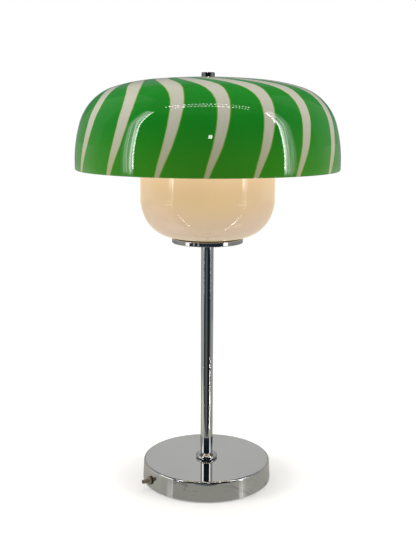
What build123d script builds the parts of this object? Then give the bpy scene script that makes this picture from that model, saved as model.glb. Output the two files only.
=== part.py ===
"""A mushroom table lamp: a glass shade on a harp, an opal glass bowl, a tube and a disc base.

Millimetres. The lamp stands on Z = 0, its axis is +Z and its front looks along -Y.
"""

import os
from math import acos
from math import cos
from math import degrees
from math import radians
from math import sin
from math import sqrt
from math import tan

from build123d import *

# ---- Driving dimensions -------------------------------------------------------------------

# Clearances, each on the radius
thread_gap = 0.05
slip_gap = 0.1
loose_gap = 0.5

# Base: a drawn cover over an iron weight, closed below by a plate and a felt pad
base_d = 154.0
base_h = 24.5
base_draft = 3.3
base_edge_r = 2.2
shell_wall = 1.5
shell_lift = 0.8
felt_t = 1.6
plate_t = 1.2
weight_edge = 2.5
weight_web = 8.5

plate_screw_d = 4.0
plate_screw_l = 9.0
plate_screw_head_d = 6.4
plate_screw_circle = 112.0
plate_screw_count = 3

# Tie rod, a hollow threaded rod that clamps everything from the base to the bowl
rod_d = 10.0
rod_bore_d = 7.6
rod_stub = 1.0
nut_af = 14.0
nut_t = 4.0
foot_washer_d = 24.0
foot_washer_t = 1.5

# Stem
stem_d = 14.6
stem_wall = 1.2
stem_show = 263.2
collar_d = 25.6
collar_side = 3.4
collar_dome = 2.4
collar_dome_sag = 0.12
bush_l = 8.0

# Gallery, the plate that carries the bowl
gallery_d = 82.2
gallery_t = 5.3
gallery_edge_r = 0.9
gallery_socket = 1.5
bowl_seal_t = 1.0
bowl_seal_d = 78.0

# Opal bowl
bowl_d = 154.7
bowl_h = 108.0
bowl_wall = 3.0
bowl_base_r = 40.2
bowl_belly_r = 61.5
bowl_belly_turn = 21.2
bowl_pad_t = 1.0
clamp_washer_d = 50.0
clamp_washer_t = 1.5

# Harp, a closed frame of strip steel round the lampholder and bulb
harp_inner_w = 70.0
harp_strip_w = 14.0
harp_strip_t = 2.0
harp_bend_r = 7.0

# Lampholder
holder_d = 39.0
holder_gap = 0.5
holder_entry_d = 17.0
holder_entry_l = 9.0
holder_cone_l = 6.0
holder_cap_rim = 3.0
holder_cap_wall = 2.5
holder_core_d = 34.0
holder_core_t = 8.0
holder_skirt_l = 34.0
holder_skirt_step = 2.0
sleeve_wall = 0.4
sleeve_l = 24.0
tongue_w = 5.0
tongue_t = 0.5
tongue_rise = 2.5

# Bulb
cap_d = 26.3
cap_l = 23.0
bulb_d = 60.0
bulb_l = 105.0
bulb_neck_d = 25.8
bulb_flare_r = 45.0
bulb_wall = 1.0
button_d = 9.0
button_t = 0.8
insulator_d = 23.0
insulator_t = 3.0

# Glass shade, outside profile from the rim up: a straight lip and four tangent arcs
shade_d = 300.0
shade_rim_z = 371.8
shade_wall = 3.5
shade_lip = 8.3
shade_side_r = 158.8
shade_side_turn = 15.3
shade_shoulder_r = 59.8
shade_shoulder_turn = 58.0
shade_haunch_r = 207.0
shade_haunch_turn = 11.5
shade_hole_d = 11.0

# Shade rest and what screws the shade down
rest_d = 44.0
rest_hub_d = 22.0
rest_t = 1.2
rest_depth = 5.5
rest_seal_t = 1.2
rest_seal_d = 38.0
rest_seal_bore_d = 28.0
screw_d = 8.0
screw_head_af = 13.0
screw_head_t = 5.3
lock_nut_t = 4.0
finial_washer_t = 0.5
finial_washer_d = 13.6
finial_spigot_l = 2.5
finial_d = 15.0
finial_h = 4.7
finial_edge_r = 0.9
finial_crown = 1.3

# Cord gland in the side of the base, its lock nut, the terminal block and the inner lead
gland_azimuth = 210.5
gland_z = 10.6
gland_flange_d = 10.0
gland_flange_t = 2.0
gland_snout_d = 4.8
gland_snout_l = 7.5
gland_thread_d = 7.6
gland_thread_l = 8.5
gland_bore_d = 3.6
gland_edge_r = 0.5
gland_nut_af = 11.0
gland_nut_t = 3.0
gland_seat_gap = 0.3
block_w = 18.0
block_l = 17.0
block_base_t = 6.5
block_tower_d = 5.4
block_tower_h = 3.5
block_pitch = 9.0
block_wire_d = 2.8
block_screw_d = 2.6
block_setback = 34.0
pocket_gap = 1.5
lead_d = 3.2
lead_bend_r = 6.0
lead_floor_gap = 0.3


# ---- Levels and radii worked out from them --------------------------------------------------


def base_r(z):
    """Radius of the outside of the base at a height."""
    return base_d / 2 - z * tan(radians(base_draft))


def cover_r(z):
    """Radius of the inside of the base cover at a height."""
    return base_r(z) - shell_wall


def hexagon_r(across_flats):
    """Radius of a hexagon's corners."""
    return across_flats / 2 / cos(radians(30))


# Base
plate_z = felt_t
weight_z = plate_z + plate_t
cover_top_z = base_h - shell_wall
foot_washer_z = cover_top_z - weight_web - foot_washer_t
foot_nut_z = foot_washer_z - nut_t
rod_z = foot_nut_z - rod_stub
rod_hole_r = rod_d / 2 + thread_gap

# Stem, gallery and bowl
gallery_z = base_h + stem_show
stem_top_z = gallery_z + gallery_socket
stem_bore_r = stem_d / 2 - stem_wall
bowl_seal_z = gallery_z + gallery_t
bowl_z = bowl_seal_z + bowl_seal_t
bowl_top_z = bowl_z + bowl_h
bowl_base_turn = 90 - bowl_belly_turn
bowl_flat_r = (
    bowl_d / 2
    - bowl_belly_r * (1 - cos(radians(bowl_belly_turn)))
    - bowl_base_r * cos(radians(bowl_belly_turn))
)

# What the rod clamps inside the bowl
bowl_pad_z = bowl_z + bowl_wall
clamp_washer_z = bowl_pad_z + bowl_pad_t
harp_z = clamp_washer_z + clamp_washer_t
clamp_nut_z = harp_z + harp_strip_t

# Lampholder
holder_z = clamp_nut_z + nut_t + holder_gap
rod_top_z = holder_z + holder_entry_l
holder_cone_z = holder_z + holder_entry_l
holder_rim_z = holder_cone_z + holder_cone_l
holder_seam_z = holder_rim_z + holder_cap_rim
core_top_z = holder_seam_z + holder_core_t
skirt_step_z = core_top_z + holder_skirt_step
skirt_top_z = holder_seam_z + holder_skirt_l
sleeve_r = cap_d / 2 + slip_gap

# Bulb
button_z = core_top_z + tongue_rise
insulator_z = button_z + button_t
cap_z = insulator_z + insulator_t
cap_top_z = cap_z + cap_l
bulb_centre_z = button_z + bulb_l - bulb_d / 2
bulb_reach = bulb_flare_r + bulb_d / 2
bulb_flare_x = bulb_neck_d / 2 + bulb_flare_r
bulb_flare_z = bulb_centre_z - sqrt(bulb_reach**2 - bulb_flare_x**2)
bulb_flare_turn = degrees(acos(bulb_flare_x / bulb_reach))

# Shade: where its arcs end, and the crown arc that closes it on the axis
side_end = radians(shade_side_turn)
shoulder_end = side_end + radians(shade_shoulder_turn)
haunch_end = shoulder_end + radians(shade_haunch_turn)
haunch_x = (
    shade_d / 2
    - shade_side_r * (1 - cos(side_end))
    - shade_shoulder_r * (cos(side_end) - cos(shoulder_end))
    - shade_haunch_r * (cos(shoulder_end) - cos(haunch_end))
)
haunch_z = (
    shade_rim_z
    + shade_lip
    + shade_side_r * sin(side_end)
    + shade_shoulder_r * (sin(shoulder_end) - sin(side_end))
    + shade_haunch_r * (sin(haunch_end) - sin(shoulder_end))
)
crown_r = haunch_x / cos(haunch_end)
crown_centre_z = haunch_z - crown_r * sin(haunch_end)


def crown_z(radius, offset=0.0):
    """Height of the crown at a distance from the axis, on a face that far inside the glass."""
    return crown_centre_z + sqrt((crown_r - offset) ** 2 - radius**2)


# Shade rest, from the glass down to the harp
rest_seal_z = crown_z(rest_seal_d / 2, shade_wall) - rest_seal_t
rest_z = rest_seal_z - rest_depth - rest_t
lock_nut_z = rest_z + rest_t
harp_top_z = rest_z
harp_h = harp_top_z - harp_z
harp_outer_w = harp_inner_w + 2 * harp_strip_t
screw_z = harp_top_z - harp_strip_t - screw_head_t
finial_washer_z = crown_z(shade_hole_d / 2)
finial_z = finial_washer_z + finial_washer_t
finial_bore_h = finial_h - finial_crown
screw_top_z = finial_z + finial_bore_h - slip_gap

# Gland and lead, laid out in the upright plane through the gland
gland_cos = cos(radians(gland_azimuth))
gland_sin = sin(radians(gland_azimuth))
gland_plane = Plane(origin=(0, 0, 0), x_dir=(gland_cos, gland_sin, 0), z_dir=(gland_sin, -gland_cos, 0))
gland_axis = Axis((0, 0, gland_z), (gland_cos, gland_sin, 0))
gland_seat_r = base_r(gland_z - gland_flange_d / 2) + gland_seat_gap
gland_inner_r = gland_seat_r - gland_thread_l
block_inner_r = base_d / 2 - block_setback
gland_nut_face_r = cover_r(gland_z + gland_nut_af / 2) - gland_seat_gap - shell_wall / 3
lead_z = weight_z + lead_floor_gap + lead_d / 2


def gland_level(z):
    """A level plane at a height whose X axis runs out through the gland."""
    return Plane(origin=(0, 0, z), x_dir=(gland_cos, gland_sin, 0), z_dir=(0, 0, 1))


def gland_face(radius):
    """A plane across the gland's axis at a distance from the lamp's axis, facing outwards."""
    return Plane(
        origin=(radius * gland_cos, radius * gland_sin, gland_z),
        x_dir=(-gland_sin, gland_cos, 0),
        z_dir=(gland_cos, gland_sin, 0),
    )


# ---- Base -----------------------------------------------------------------------------------

with BuildPart() as felt_pad:
    with BuildSketch():
        Circle(cover_r(felt_t) - slip_gap)
    extrude(amount=felt_t)

with BuildPart() as base_plate:
    with BuildSketch(Plane.XY.offset(plate_z)):
        Circle(cover_r(weight_z) - slip_gap)
    extrude(amount=plate_t)
    with Locations((0, 0, plate_z)):
        with PolarLocations(plate_screw_circle / 2, plate_screw_count, gland_azimuth + 60):
            Cone(
                plate_screw_head_d / 2 + slip_gap,
                plate_screw_d / 2 + slip_gap,
                plate_t,
                align=(Align.CENTER, Align.CENTER, Align.MIN),
                mode=Mode.SUBTRACT,
            )

with BuildPart() as base_plate_screws:
    with Locations((0, 0, plate_z)):
        with PolarLocations(plate_screw_circle / 2, plate_screw_count, gland_azimuth + 60):
            Cone(
                plate_screw_head_d / 2,
                plate_screw_d / 2,
                plate_t,
                align=(Align.CENTER, Align.CENTER, Align.MIN),
            )
            Cylinder(
                plate_screw_d / 2,
                plate_screw_l,
                align=(Align.CENTER, Align.CENTER, Align.MIN),
            )

with BuildPart() as base_weight:
    with BuildSketch(Plane.XZ) as weight_profile:
        with BuildLine():
            Polyline(
                (rod_hole_r, weight_z),
                (cover_r(weight_z) - loose_gap, weight_z),
                (cover_r(cover_top_z) - loose_gap, cover_top_z),
                (rod_hole_r, cover_top_z),
                close=True,
            )
        make_face()
        chamfer(weight_profile.vertices().group_by(Axis.Y)[-1].sort_by(Axis.X)[-1], weight_edge)
    revolve(axis=Axis.Z)
    with BuildSketch(Plane.XY.offset(weight_z)):
        Circle(foot_washer_d / 2 + loose_gap)
    extrude(amount=foot_washer_z + foot_washer_t - weight_z, mode=Mode.SUBTRACT)
    # The channel of the lead, and the pocket of the terminal block and the gland's nut
    with BuildSketch(gland_level(weight_z)):
        with Locations((block_inner_r / 2, 0)):
            Rectangle(block_inner_r, lead_d + 2 * pocket_gap)
    extrude(amount=lead_z + lead_d / 2 + pocket_gap - weight_z, mode=Mode.SUBTRACT)
    with BuildSketch(gland_level(weight_z)):
        with Locations((block_inner_r - pocket_gap, 0)):
            Rectangle(
                base_d,
                max(block_w, 2 * hexagon_r(gland_nut_af)) + 2 * pocket_gap,
                align=(Align.MIN, Align.CENTER),
            )
    extrude(amount=gland_z + hexagon_r(gland_nut_af) + pocket_gap - weight_z, mode=Mode.SUBTRACT)
    with BuildSketch(Plane.XY.offset(weight_z)):
        with PolarLocations(plate_screw_circle / 2, plate_screw_count, gland_azimuth + 60):
            Circle(plate_screw_d / 2 + thread_gap)
    extrude(amount=plate_screw_l - plate_t + loose_gap, mode=Mode.SUBTRACT)

with BuildPart() as base_shell:
    with BuildSketch(Plane.XZ) as shell_profile:
        with BuildLine():
            Polyline(
                (rod_hole_r, base_h),
                (base_r(base_h), base_h),
                (base_r(shell_lift), shell_lift),
                (cover_r(shell_lift), shell_lift),
                (cover_r(cover_top_z), cover_top_z),
                (rod_hole_r, cover_top_z),
                close=True,
            )
        make_face()
        fillet(shell_profile.vertices().group_by(Axis.Y)[-1].sort_by(Axis.X)[-1], base_edge_r)
        inner_corners = shell_profile.vertices().filter_by_position(Axis.Y, cover_top_z, cover_top_z)
        fillet(inner_corners.sort_by(Axis.X)[-1], base_edge_r - shell_wall)
    revolve(axis=Axis.Z)
    with BuildSketch(gland_face(gland_inner_r)):
        Circle(gland_thread_d / 2 + slip_gap)
    extrude(amount=2 * gland_thread_l, mode=Mode.SUBTRACT)

# ---- Cord gland, terminal block and inner lead ------------------------------------------------

with BuildPart() as cord_gland:
    with BuildSketch(gland_plane) as gland_profile:
        with BuildLine():
            Polyline(
                (gland_inner_r, gland_z + gland_bore_d / 2),
                (gland_inner_r, gland_z + gland_thread_d / 2),
                (gland_seat_r, gland_z + gland_thread_d / 2),
                (gland_seat_r, gland_z + gland_flange_d / 2),
                (gland_seat_r + gland_flange_t, gland_z + gland_flange_d / 2),
                (gland_seat_r + gland_flange_t, gland_z + gland_snout_d / 2),
                (gland_seat_r + gland_flange_t + gland_snout_l, gland_z + gland_snout_d / 2),
                (gland_seat_r + gland_flange_t + gland_snout_l, gland_z + gland_bore_d / 2),
                close=True,
            )
        make_face()
        fillet(gland_profile.vertices().group_by(Axis.Y)[-1].sort_by(Axis.X)[-1], gland_edge_r)
    revolve(axis=gland_axis)

with BuildPart() as gland_nut:
    with BuildSketch(gland_face(gland_nut_face_r - gland_nut_t)):
        RegularPolygon(gland_nut_af / 2, 6, major_radius=False)
        Circle(gland_thread_d / 2 + thread_gap, mode=Mode.SUBTRACT)
    extrude(amount=gland_nut_t)

with BuildPart() as terminal_block:
    with BuildSketch(gland_level(weight_z)):
        with Locations((block_inner_r + block_l / 2, 0)):
            Rectangle(block_l, block_w)
    extrude(amount=block_base_t)
    with BuildSketch(gland_level(weight_z + block_base_t)):
        with Locations((block_inner_r + block_l / 2, 0)):
            with GridLocations(block_pitch, block_pitch, 2, 2):
                Circle(block_tower_d / 2)
    extrude(amount=block_tower_h)
    with BuildSketch(gland_level(weight_z + block_base_t)):
        with Locations((block_inner_r + block_l / 2, 0)):
            with GridLocations(block_pitch, block_pitch, 2, 2):
                Circle(block_screw_d / 2 + thread_gap)
    extrude(amount=block_tower_h, mode=Mode.SUBTRACT)
    with BuildSketch(gland_face(block_inner_r)):
        with Locations((0, weight_z + block_base_t / 2 - gland_z)):
            with GridLocations(block_pitch, 0, 2, 1):
                Circle(block_wire_d / 2)
    extrude(amount=block_l, mode=Mode.SUBTRACT)

with BuildPart() as terminal_screws:
    with BuildSketch(gland_level(weight_z + block_base_t)):
        with Locations((block_inner_r + block_l / 2, 0)):
            with GridLocations(block_pitch, block_pitch, 2, 2):
                Circle(block_screw_d / 2)
    extrude(amount=block_tower_h - tongue_t)

with BuildPart() as inner_lead:
    with BuildLine(gland_plane) as lead_path:
        FilletPolyline(
            (block_inner_r, lead_z),
            (0, lead_z),
            (0, holder_seam_z),
            radius=lead_bend_r,
        )
    with BuildSketch(Plane(origin=lead_path.line @ 0, z_dir=lead_path.line % 0)):
        Circle(lead_d / 2)
    sweep()

# ---- Tie rod, stem and gallery ----------------------------------------------------------------

with BuildPart() as threaded_rod:
    with BuildSketch(Plane.XY.offset(rod_z)):
        Circle(rod_d / 2)
        Circle(rod_bore_d / 2, mode=Mode.SUBTRACT)
    extrude(amount=rod_top_z - rod_z)

with BuildPart() as rod_foot_nut:
    with BuildSketch(Plane.XY.offset(foot_nut_z)):
        RegularPolygon(nut_af / 2, 6, major_radius=False)
        Circle(rod_hole_r, mode=Mode.SUBTRACT)
    extrude(amount=nut_t)

with BuildPart() as rod_foot_washer:
    with BuildSketch(Plane.XY.offset(foot_washer_z)):
        Circle(foot_washer_d / 2)
        Circle(rod_hole_r, mode=Mode.SUBTRACT)
    extrude(amount=foot_washer_t)

with BuildPart() as stem_tube:
    with BuildSketch(Plane.XY.offset(base_h)):
        Circle(stem_d / 2)
        Circle(stem_bore_r, mode=Mode.SUBTRACT)
    extrude(amount=stem_top_z - base_h)

with BuildPart() as stem_bushes:
    with BuildSketch(Plane.XY.offset(base_h), Plane.XY.offset(stem_top_z - bush_l)):
        Circle(stem_bore_r - slip_gap)
        Circle(rod_hole_r, mode=Mode.SUBTRACT)
    extrude(amount=bush_l)

with BuildPart() as stem_collar:
    collar_bore_r = stem_d / 2 + slip_gap
    with BuildSketch(Plane.XZ):
        with BuildLine():
            collar_side_top = (collar_d / 2, base_h + collar_side)
            collar_top = (collar_bore_r, base_h + collar_side + collar_dome)
            Polyline(collar_top, (collar_bore_r, base_h), (collar_d / 2, base_h), collar_side_top)
            SagittaArc(collar_side_top, collar_top, collar_dome_sag)
        make_face()
    revolve(axis=Axis.Z)

with BuildPart() as gallery_plate:
    with BuildSketch(Plane.XY.offset(gallery_z)):
        Circle(gallery_d / 2)
    extrude(amount=gallery_t)
    fillet(gallery_plate.edges().filter_by(GeomType.CIRCLE), gallery_edge_r)
    with BuildSketch(Plane.XY.offset(gallery_z)):
        Circle(rod_hole_r)
    extrude(amount=gallery_t, mode=Mode.SUBTRACT)
    with BuildSketch(Plane.XY.offset(gallery_z)):
        Circle(stem_d / 2 + slip_gap)
    extrude(amount=gallery_socket, mode=Mode.SUBTRACT)

with BuildPart() as bowl_seal:
    with BuildSketch(Plane.XY.offset(bowl_seal_z)):
        Circle(bowl_seal_d / 2)
        Circle(rod_hole_r, mode=Mode.SUBTRACT)
    extrude(amount=bowl_seal_t)

# ---- Opal bowl --------------------------------------------------------------------------------


def bowl_face(offset):
    """Draw one face of the bowl's section, as far inside the outer face as given."""
    foot = Line((rod_d / 2 + loose_gap, bowl_z + offset), (bowl_flat_r, bowl_z + offset))
    base = JernArc(foot @ 1, foot % 1, bowl_base_r - offset, bowl_base_turn)
    belly = JernArc(base @ 1, base % 1, bowl_belly_r - offset, bowl_belly_turn)
    wall = Line(belly @ 1, (bowl_d / 2 - offset, bowl_top_z))
    return foot @ 0, wall @ 1


with BuildPart() as opal_bowl:
    with BuildSketch(Plane.XZ) as bowl_profile:
        with BuildLine():
            outer_foot, outer_top = bowl_face(0)
            inner_foot, inner_top = bowl_face(bowl_wall)
            Line(outer_foot, inner_foot)
            Line(outer_top, inner_top)
        make_face()
        fillet(bowl_profile.vertices().group_by(Axis.Y)[-1], bowl_wall * 0.45)
    revolve(axis=Axis.Z)

with BuildPart() as bowl_pad:
    with BuildSketch(Plane.XY.offset(bowl_pad_z)):
        Circle(clamp_washer_d / 2)
        Circle(rod_hole_r, mode=Mode.SUBTRACT)
    extrude(amount=bowl_pad_t)

with BuildPart() as clamp_washer:
    with BuildSketch(Plane.XY.offset(clamp_washer_z)):
        Circle(clamp_washer_d / 2)
        Circle(rod_hole_r, mode=Mode.SUBTRACT)
    extrude(amount=clamp_washer_t)

with BuildPart() as clamp_nut:
    with BuildSketch(Plane.XY.offset(clamp_nut_z)):
        RegularPolygon(nut_af / 2, 6, major_radius=False)
        Circle(rod_hole_r, mode=Mode.SUBTRACT)
    extrude(amount=nut_t)

# ---- Harp -------------------------------------------------------------------------------------

with BuildPart() as harp_frame:
    with BuildSketch(Plane.XZ):
        with Locations((0, harp_z + harp_h / 2)):
            RectangleRounded(harp_outer_w, harp_h, harp_bend_r)
            RectangleRounded(
                harp_inner_w,
                harp_h - 2 * harp_strip_t,
                harp_bend_r - harp_strip_t,
                mode=Mode.SUBTRACT,
            )
    extrude(amount=harp_strip_w / 2, both=True)
    with BuildSketch(Plane.XY.offset(harp_z)):
        Circle(rod_hole_r)
    extrude(amount=harp_strip_t, mode=Mode.SUBTRACT)
    with BuildSketch(Plane.XY.offset(harp_top_z - harp_strip_t)):
        Circle(screw_d / 2 + slip_gap)
    extrude(amount=harp_strip_t, mode=Mode.SUBTRACT)

# ---- Lampholder -------------------------------------------------------------------------------

with BuildPart() as holder_cap:
    cap_inner_r = holder_d / 2 - 2 * holder_cap_wall
    with BuildSketch(Plane.XZ):
        with BuildLine():
            Polyline(
                (rod_hole_r, holder_z),
                (holder_entry_d / 2, holder_z),
                (holder_entry_d / 2, holder_cone_z),
                (holder_d / 2, holder_rim_z),
                (holder_d / 2, holder_seam_z),
                (cap_inner_r, holder_seam_z),
                (cap_inner_r, holder_rim_z),
                (rod_hole_r, holder_cone_z + holder_cap_wall),
                close=True,
            )
        make_face()
    revolve(axis=Axis.Z)

with BuildPart() as holder_core:
    with BuildSketch(Plane.XY.offset(holder_seam_z)):
        Circle(holder_core_d / 2)
    extrude(amount=holder_core_t)
    with BuildSketch(Plane.XY.offset(core_top_z)):
        with GridLocations(cap_d / 2, cap_d / 2, 2, 2):
            Circle(block_screw_d / 2)
    extrude(amount=-holder_core_t / 2, mode=Mode.SUBTRACT)

with BuildPart() as holder_skirt:
    skirt_inner_r = holder_core_d / 2 + slip_gap
    skirt_bore_r = sleeve_r + sleeve_wall + slip_gap
    with BuildSketch(Plane.XZ) as skirt_profile:
        with BuildLine():
            Polyline(
                (skirt_inner_r, holder_seam_z),
                (holder_d / 2, holder_seam_z),
                (holder_d / 2, skirt_top_z),
                (skirt_bore_r, skirt_top_z),
                (skirt_bore_r, skirt_step_z),
                (skirt_inner_r, skirt_step_z),
                close=True,
            )
        make_face()
        fillet(skirt_profile.vertices().group_by(Axis.Y)[-1].sort_by(Axis.X)[-1], holder_cap_wall / 2)
    revolve(axis=Axis.Z)

with BuildPart() as thread_sleeve:
    with BuildSketch(Plane.XY.offset(core_top_z)):
        Circle(sleeve_r + sleeve_wall)
        Circle(sleeve_r, mode=Mode.SUBTRACT)
    extrude(amount=sleeve_l)

with BuildPart() as contact_tongue:
    with BuildSketch(Plane.XZ):
        with BuildLine():
            tongue_line = Polyline(
                (-cap_d / 3, core_top_z),
                (-cap_d / 5, core_top_z),
                (-cap_d / 9, button_z - tongue_t),
                (cap_d / 9, button_z - tongue_t),
            )
            offset(tongue_line, amount=tongue_t, side=Side.LEFT)
        make_face()
    extrude(amount=tongue_w / 2, both=True)

# ---- Bulb -------------------------------------------------------------------------------------

with BuildPart() as bulb_contact:
    with BuildSketch(Plane.XZ):
        with BuildLine():
            Polyline(
                (0, button_z),
                (button_d / 2, button_z),
                (button_d / 2, insulator_z),
                (insulator_d / 2, cap_z),
                (0, cap_z),
                close=True,
            )
        make_face()
    revolve(axis=Axis.Z)

with BuildPart() as bulb_cap:
    with BuildSketch(Plane.XY.offset(cap_z)):
        Circle(cap_d / 2)
    extrude(amount=cap_l)
    chamfer(bulb_cap.edges().group_by(Axis.Z)[0], (cap_d - insulator_d) / 2)


def bulb_face(offset):
    """Draw one face of the bulb's section, as far inside the outer face as given."""
    neck = Line((bulb_neck_d / 2 - offset, cap_top_z), (bulb_neck_d / 2 - offset, bulb_flare_z))
    flare = JernArc(neck @ 1, (0, 1), bulb_flare_r + offset, -bulb_flare_turn)
    globe = JernArc(flare @ 1, flare % 1, bulb_d / 2 - offset, 90 + bulb_flare_turn)
    return neck @ 0, globe @ 1


with BuildPart() as bulb_glass:
    with BuildSketch(Plane.XZ):
        with BuildLine():
            outer_neck, outer_crown = bulb_face(0)
            inner_neck, inner_crown = bulb_face(bulb_wall)
            Line(outer_neck, inner_neck)
            Line(outer_crown, inner_crown)
        make_face()
    revolve(axis=Axis.Z)

# ---- Shade and what holds it -------------------------------------------------------------------


def shade_face(offset):
    """Draw one face of the shade's section, as far inside the outer face as given."""
    lip = Line((shade_d / 2 - offset, shade_rim_z), (shade_d / 2 - offset, shade_rim_z + shade_lip))
    side = JernArc(lip @ 1, lip % 1, shade_side_r - offset, shade_side_turn)
    shoulder = JernArc(side @ 1, side % 1, shade_shoulder_r - offset, shade_shoulder_turn)
    haunch = JernArc(shoulder @ 1, shoulder % 1, shade_haunch_r - offset, shade_haunch_turn)
    crown_turn = degrees(acos(shade_hole_d / 2 / (crown_r - offset)) - haunch_end)
    crown = JernArc(haunch @ 1, haunch % 1, crown_r - offset, crown_turn)
    return lip @ 0, crown @ 1


with BuildPart() as glass_shade:
    with BuildSketch(Plane.XZ) as shade_profile:
        with BuildLine():
            outer_rim, outer_hole = shade_face(0)
            inner_rim, inner_hole = shade_face(shade_wall)
            Line(outer_rim, inner_rim)
            Line(outer_hole, inner_hole)
        make_face()
        fillet(shade_profile.vertices().group_by(Axis.Y)[0], shade_wall * 0.45)
    revolve(axis=Axis.Z)

with BuildPart() as shade_rest:
    with BuildSketch(Plane.XZ):
        with BuildLine():
            rest_line = Polyline(
                (screw_d / 2 + slip_gap, rest_z),
                (rest_hub_d / 2, rest_z),
                (rest_seal_bore_d / 2, rest_seal_z - rest_t),
                (rest_d / 2, rest_seal_z - rest_t),
            )
            offset(rest_line, amount=rest_t, side=Side.LEFT)
        make_face()
    revolve(axis=Axis.Z)

with BuildPart() as rest_seal:
    with BuildSketch(Plane.XY.offset(rest_seal_z)):
        Circle(rest_seal_d / 2)
        Circle(rest_seal_bore_d / 2, mode=Mode.SUBTRACT)
    extrude(amount=rest_seal_t)

with BuildPart() as shade_screw:
    with BuildSketch(Plane.XY.offset(screw_z)):
        RegularPolygon(screw_head_af / 2, 6, major_radius=False)
    extrude(amount=screw_head_t)
    with BuildSketch(Plane.XY.offset(screw_z)):
        Circle(screw_d / 2)
    extrude(amount=screw_top_z - screw_z)

with BuildPart() as lock_nut:
    with BuildSketch(Plane.XY.offset(lock_nut_z)):
        RegularPolygon(screw_head_af / 2, 6, major_radius=False)
        Circle(screw_d / 2 + thread_gap, mode=Mode.SUBTRACT)
    extrude(amount=lock_nut_t)

with BuildPart() as finial_washer:
    with BuildSketch(Plane.XY.offset(finial_washer_z)):
        Circle(finial_washer_d / 2)
    extrude(amount=finial_washer_t)
    with BuildSketch(Plane.XY.offset(finial_washer_z)):
        Circle(shade_hole_d / 2 - slip_gap)
    extrude(amount=-finial_spigot_l)
    with BuildSketch(Plane.XY.offset(finial_washer_z - finial_spigot_l)):
        Circle(screw_d / 2 + slip_gap)
    extrude(amount=finial_spigot_l + finial_washer_t, mode=Mode.SUBTRACT)

with BuildPart() as finial:
    with BuildSketch(Plane.XY.offset(finial_z)):
        Circle(finial_d / 2)
    extrude(amount=finial_h)
    fillet(finial.edges().group_by(Axis.Z)[-1], finial_edge_r)
    with BuildSketch(Plane.XY.offset(finial_z)):
        Circle(screw_d / 2 + thread_gap)
    extrude(amount=finial_bore_h, mode=Mode.SUBTRACT)

# ---- Files ------------------------------------------------------------------------------------

pieces = {
    "felt_pad": felt_pad,
    "base_plate": base_plate,
    "base_plate_screws": base_plate_screws,
    "base_weight": base_weight,
    "base_shell": base_shell,
    "cord_gland": cord_gland,
    "gland_nut": gland_nut,
    "terminal_block": terminal_block,
    "terminal_screws": terminal_screws,
    "inner_lead": inner_lead,
    "threaded_rod": threaded_rod,
    "rod_foot_nut": rod_foot_nut,
    "rod_foot_washer": rod_foot_washer,
    "stem_tube": stem_tube,
    "stem_bushes": stem_bushes,
    "stem_collar": stem_collar,
    "gallery_plate": gallery_plate,
    "bowl_seal": bowl_seal,
    "opal_bowl": opal_bowl,
    "bowl_pad": bowl_pad,
    "clamp_washer": clamp_washer,
    "clamp_nut": clamp_nut,
    "harp_frame": harp_frame,
    "holder_cap": holder_cap,
    "holder_core": holder_core,
    "holder_skirt": holder_skirt,
    "thread_sleeve": thread_sleeve,
    "contact_tongue": contact_tongue,
    "bulb_contact": bulb_contact,
    "bulb_cap": bulb_cap,
    "bulb_glass": bulb_glass,
    "glass_shade": glass_shade,
    "shade_rest": shade_rest,
    "rest_seal": rest_seal,
    "shade_screw": shade_screw,
    "lock_nut": lock_nut,
    "finial_washer": finial_washer,
    "finial": finial,
}

os.makedirs("parts", exist_ok=True)
for name, piece in pieces.items():
    piece.part.label = name
    export_step(piece.part, f"parts/{name}.step")
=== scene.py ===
# %% [markdown]
# # A mushroom table lamp
#
# The lamp's parts come from CAD and stay where they are. This lesson gives them their finishes,
# spins the two glasses and the stem's ring anew with finer meshes, and builds the small photo tent
# that the chrome mirrors.

import math

import bmesh
import bpy
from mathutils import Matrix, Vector


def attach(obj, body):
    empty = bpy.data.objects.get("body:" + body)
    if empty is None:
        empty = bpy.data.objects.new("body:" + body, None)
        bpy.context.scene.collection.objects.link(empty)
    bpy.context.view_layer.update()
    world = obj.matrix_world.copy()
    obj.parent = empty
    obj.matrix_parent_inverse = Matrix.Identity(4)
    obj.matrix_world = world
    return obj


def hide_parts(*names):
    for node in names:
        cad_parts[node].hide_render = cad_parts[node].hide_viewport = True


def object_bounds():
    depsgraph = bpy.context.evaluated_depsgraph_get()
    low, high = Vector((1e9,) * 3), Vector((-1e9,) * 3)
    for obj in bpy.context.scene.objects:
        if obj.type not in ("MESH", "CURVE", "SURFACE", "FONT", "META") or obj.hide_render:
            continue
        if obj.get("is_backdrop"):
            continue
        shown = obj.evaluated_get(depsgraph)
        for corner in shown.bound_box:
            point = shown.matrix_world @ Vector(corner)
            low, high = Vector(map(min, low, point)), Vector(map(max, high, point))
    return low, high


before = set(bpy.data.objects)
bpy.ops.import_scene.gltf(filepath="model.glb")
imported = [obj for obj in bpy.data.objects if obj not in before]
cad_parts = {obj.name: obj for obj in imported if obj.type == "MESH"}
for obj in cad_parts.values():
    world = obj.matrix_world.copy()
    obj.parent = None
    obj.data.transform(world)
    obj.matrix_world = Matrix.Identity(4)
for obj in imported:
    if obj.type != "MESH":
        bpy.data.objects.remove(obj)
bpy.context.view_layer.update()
print("parts from CAD:", len(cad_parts))

# %% [markdown]
# ## The camera
#
# The lamp was photographed from a little above, with a lens a bit longer than normal. Guessing the
# camera by eye is slow. The rims of the shade and the base are circles of known size, so the camera
# was worked out from how flat their ellipses look. The tripod wasn't quite level: the stem leans by
# a quarter of a degree in the picture, so the camera gets that much roll.

# %% Camera
camera_distance = 0.98385
camera_height = 0.43375
camera_dip = 0.1886
camera_roll = math.radians(-0.25)
lens = 55.6

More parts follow.
